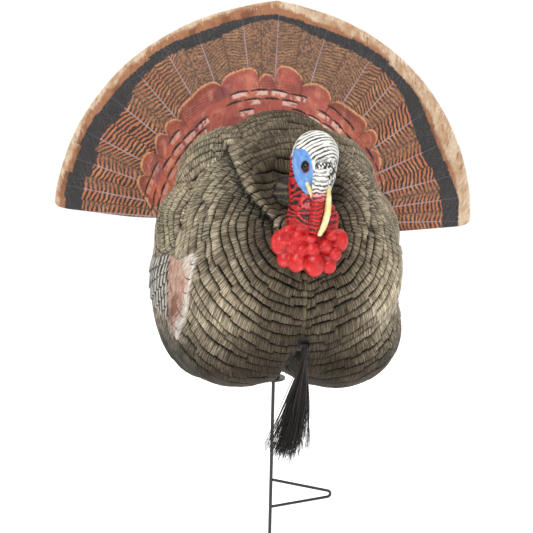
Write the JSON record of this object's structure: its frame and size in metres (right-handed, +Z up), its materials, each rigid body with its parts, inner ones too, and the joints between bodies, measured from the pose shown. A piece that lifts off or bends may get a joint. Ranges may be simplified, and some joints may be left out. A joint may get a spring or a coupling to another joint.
{
  "type": "turkey decoy",
  "caption": "Strutting turkey decoy: hollow moulded body on a swivel ground stake, plug-in head, bristle beard and a folding printed tail fan.",
  "frame": {"origin": "on the ground stake's axis at ground level, just under the foot step", "axes": "+Z up along the stake, -Y the way the bird faces, +X the bird's left side"},
  "size_m": [0.6421, 0.4022, 0.9289],
  "materials": {
    "steel_stake": "black powder coat, worn to steel at the point",
    "cap_plastic": "moulded nylon",
    "feather_body": "moulded feather relief, dark bronze with gold highlights",
    "socket_plastic": "moulded black plastic",
    "zinc_steel": "zinc plated",
    "head_rubber": "painted soft plastic, red, white and blue",
    "eye_gloss": "glossy black with a brown ring",
    "beard_hair": "black bristle",
    "ferrule_metal": "crimped tube, darkened",
    "rib_spring": "black fibreglass strip",
    "fan_fabric": "printed woven polyester"
  },
  "bodies": {
    "stake": {"stake_rod": "steel_stake", "foot_step": "steel_stake", "stake_cap": "cap_plastic"},
    "body": {"body_shell": "feather_body", "stake_sleeve": "socket_plastic", "belly_bush": "cap_plastic", "neck_collar": "socket_plastic", "collar_screws": "zinc_steel", "fan_socket": "socket_plastic", "socket_screws": "zinc_steel", "beard_bracket": "socket_plastic", "beard_pin": "zinc_steel"},
    "neck": {"neck_plug": "socket_plastic"},
    "head": {"head_shell": "head_rubber", "head_screw": "zinc_steel", "eye_left": "eye_gloss", "eye_right": "eye_gloss"},
    "beard": {"beard_ferrule": "ferrule_metal", "beard_bristles": "beard_hair"},
    "fan_mast": {"fan_mast": "socket_plastic", "fan_rib_centre": "rib_spring", "hub_bolt": "zinc_steel", "hub_cap": "socket_plastic", "hub_nut": "zinc_steel"},
    "fan_left_1": {"fan_rib_left_1": "rib_spring", "fan_cloth_left_1": "fan_fabric"},
    "fan_left_2": {"fan_rib_left_2": "rib_spring", "fan_cloth_left_2": "fan_fabric"},
    "fan_left_3": {"fan_rib_left_3": "rib_spring", "fan_cloth_left_3": "fan_fabric"},
    "fan_left_4": {"fan_rib_left_4": "rib_spring", "fan_cloth_left_4": "fan_fabric"},
    "fan_right_1": {"fan_rib_right_1": "rib_spring", "fan_cloth_right_1": "fan_fabric"},
    "fan_right_2": {"fan_rib_right_2": "rib_spring", "fan_cloth_right_2": "fan_fabric"},
    "fan_right_3": {"fan_rib_right_3": "rib_spring", "fan_cloth_right_3": "fan_fabric"},
    "fan_right_4": {"fan_rib_right_4": "rib_spring", "fan_cloth_right_4": "fan_fabric"}
  },
  "joints": [
    {"name": "body_swivel", "type": "hinge", "parent": "stake", "child": "body", "pos_m": [0, 0, 0.43], "axis": [0, 0, 1], "continuous": true},
    {"name": "head_pull", "type": "slide", "parent": "body", "child": "neck", "axis": [0, -0.5736, 0.8192], "range_m": [0, 0.04]},
    {"name": "head_turn", "type": "hinge", "parent": "neck", "child": "head", "pos_m": [0, -0.17, 0.49], "axis": [0, -0.5736, 0.8192], "range_deg": [-30, 30]},
    {"name": "beard_sway", "type": "hinge", "parent": "body", "child": "beard", "pos_m": [0, -0.247, 0.321], "axis": [-1, 0, 0], "range_deg": [-12, 60]},
    {"name": "fan_lift", "type": "slide", "parent": "body", "child": "fan_mast", "axis": [0, 0, 1], "range_m": [0, 0.05]},
    {"name": "fold_left_1", "type": "hinge", "parent": "fan_mast", "child": "fan_left_1", "pos_m": [0, 0.107, 0.413], "axis": [0, -1, 0], "range_deg": [0, 19.5], "deforming": ["fan_cloth_left_1"]},
    {"name": "fold_left_2", "type": "hinge", "parent": "fan_left_1", "child": "fan_left_2", "pos_m": [0, 0.107, 0.413], "axis": [0, -1, 0], "range_deg": [0, 19.5], "deforming": ["fan_cloth_left_2"]},
    {"name": "fold_left_3", "type": "hinge", "parent": "fan_left_2", "child": "fan_left_3", "pos_m": [0, 0.107, 0.413], "axis": [0, -1, 0], "range_deg": [0, 19.5], "deforming": ["fan_cloth_left_3"]},
    {"name": "fold_left_4", "type": "hinge", "parent": "fan_left_3", "child": "fan_left_4", "pos_m": [0, 0.107, 0.413], "axis": [0, -1, 0], "range_deg": [0, 19.5], "deforming": ["fan_cloth_left_4"]},
    {"name": "fold_right_1", "type": "hinge", "parent": "fan_mast", "child": "fan_right_1", "pos_m": [0, 0.107, 0.413], "axis": [0, 1, 0], "range_deg": [0, 19.5], "deforming": ["fan_cloth_right_1"]},
    {"name": "fold_right_2", "type": "hinge", "parent": "fan_right_1", "child": "fan_right_2", "pos_m": [0, 0.107, 0.413], "axis": [0, 1, 0], "range_deg": [0, 19.5], "deforming": ["fan_cloth_right_2"]},
    {"name": "fold_right_3", "type": "hinge", "parent": "fan_right_2", "child": "fan_right_3", "pos_m": [0, 0.107, 0.413], "axis": [0, 1, 0], "range_deg": [0, 19.5], "deforming": ["fan_cloth_right_3"]},
    {"name": "fold_right_4", "type": "hinge", "parent": "fan_right_3", "child": "fan_right_4", "pos_m": [0, 0.107, 0.413], "axis": [0, 1, 0], "range_deg": [0, 19.5], "deforming": ["fan_cloth_right_4"]}
  ],
  "couplings": [
    {"joint": "fold_left_2", "follows": "fold_left_1", "ratio": 1},
    {"joint": "fold_left_3", "follows": "fold_left_1", "ratio": 1},
    {"joint": "fold_left_4", "follows": "fold_left_1", "ratio": 1},
    {"joint": "fold_right_1", "follows": "fold_left_1", "ratio": 1},
    {"joint": "fold_right_2", "follows": "fold_left_1", "ratio": 1},
    {"joint": "fold_right_3", "follows": "fold_left_1", "ratio": 1},
    {"joint": "fold_right_4", "follows": "fold_left_1", "ratio": 1}
  ]
}
